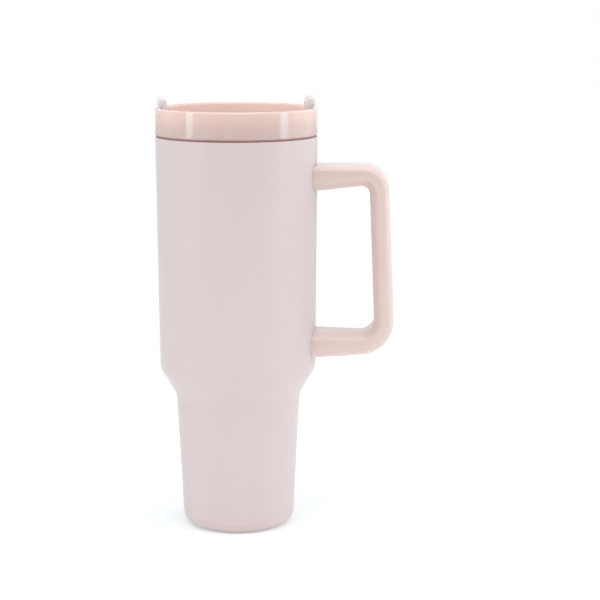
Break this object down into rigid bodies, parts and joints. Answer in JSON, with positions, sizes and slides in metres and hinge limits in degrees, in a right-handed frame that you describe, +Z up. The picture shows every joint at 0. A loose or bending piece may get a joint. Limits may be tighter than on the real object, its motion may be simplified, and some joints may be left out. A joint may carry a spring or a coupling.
{
  "type": "insulated tumbler",
  "caption": "Tall double-walled steel tumbler, wide above and narrow below a sloping shoulder, with a D-shaped side handle and a press-in lid whose rotating cover has finger ears.",
  "frame": {"origin": "centre of the base plate's underside, where the cup's axis meets the table", "axes": "+Z up along the cup's axis, +X from the axis towards the handle"},
  "size_m": [0.1482, 0.1002, 0.2718],
  "materials": {
    "powder_coat": "matte powder coat, pale pink",
    "brushed_steel": "brushed stainless",
    "plain_steel": "plain stainless",
    "seal_bead": "dull fused bead",
    "handle_plastic": "satin moulded pink",
    "lid_plastic": "glossy moulded pink",
    "cover_plastic": "cloudy pale pink plastic",
    "silicone": "soft rose silicone"
  },
  "bodies": {
    "cup": {"outer_shell": "powder_coat", "inner_liner": "brushed_steel", "vacuum_bottom": "plain_steel", "pump_out_seal": "seal_bead", "getter": "plain_steel", "base_plate": "brushed_steel", "handle": "handle_plastic", "upper_bracket": "plain_steel", "lower_bracket": "plain_steel", "upper_handle_screw": "plain_steel", "lower_handle_screw": "plain_steel", "upper_screw_plug": "silicone", "lower_screw_plug": "silicone"},
    "lid": {"lid_body": "lid_plastic", "lid_gasket": "silicone", "straw_grommet": "silicone", "sip_seal": "silicone", "pivot_screw": "plain_steel", "friction_washer": "plain_steel", "pivot_cap": "lid_plastic"},
    "cover": {"rotating_cover": "cover_plastic"}
  },
  "joints": [
    {"name": "lid_lift", "type": "slide", "parent": "cup", "child": "lid", "axis": [0, 0, 1], "range_m": [0, 0.08]},
    {"name": "cover_turn", "type": "hinge", "parent": "lid", "child": "cover", "pos_m": [0, 0, 0.2545], "axis": [0, 0, 1], "range_deg": [0, 120]}
  ]
}
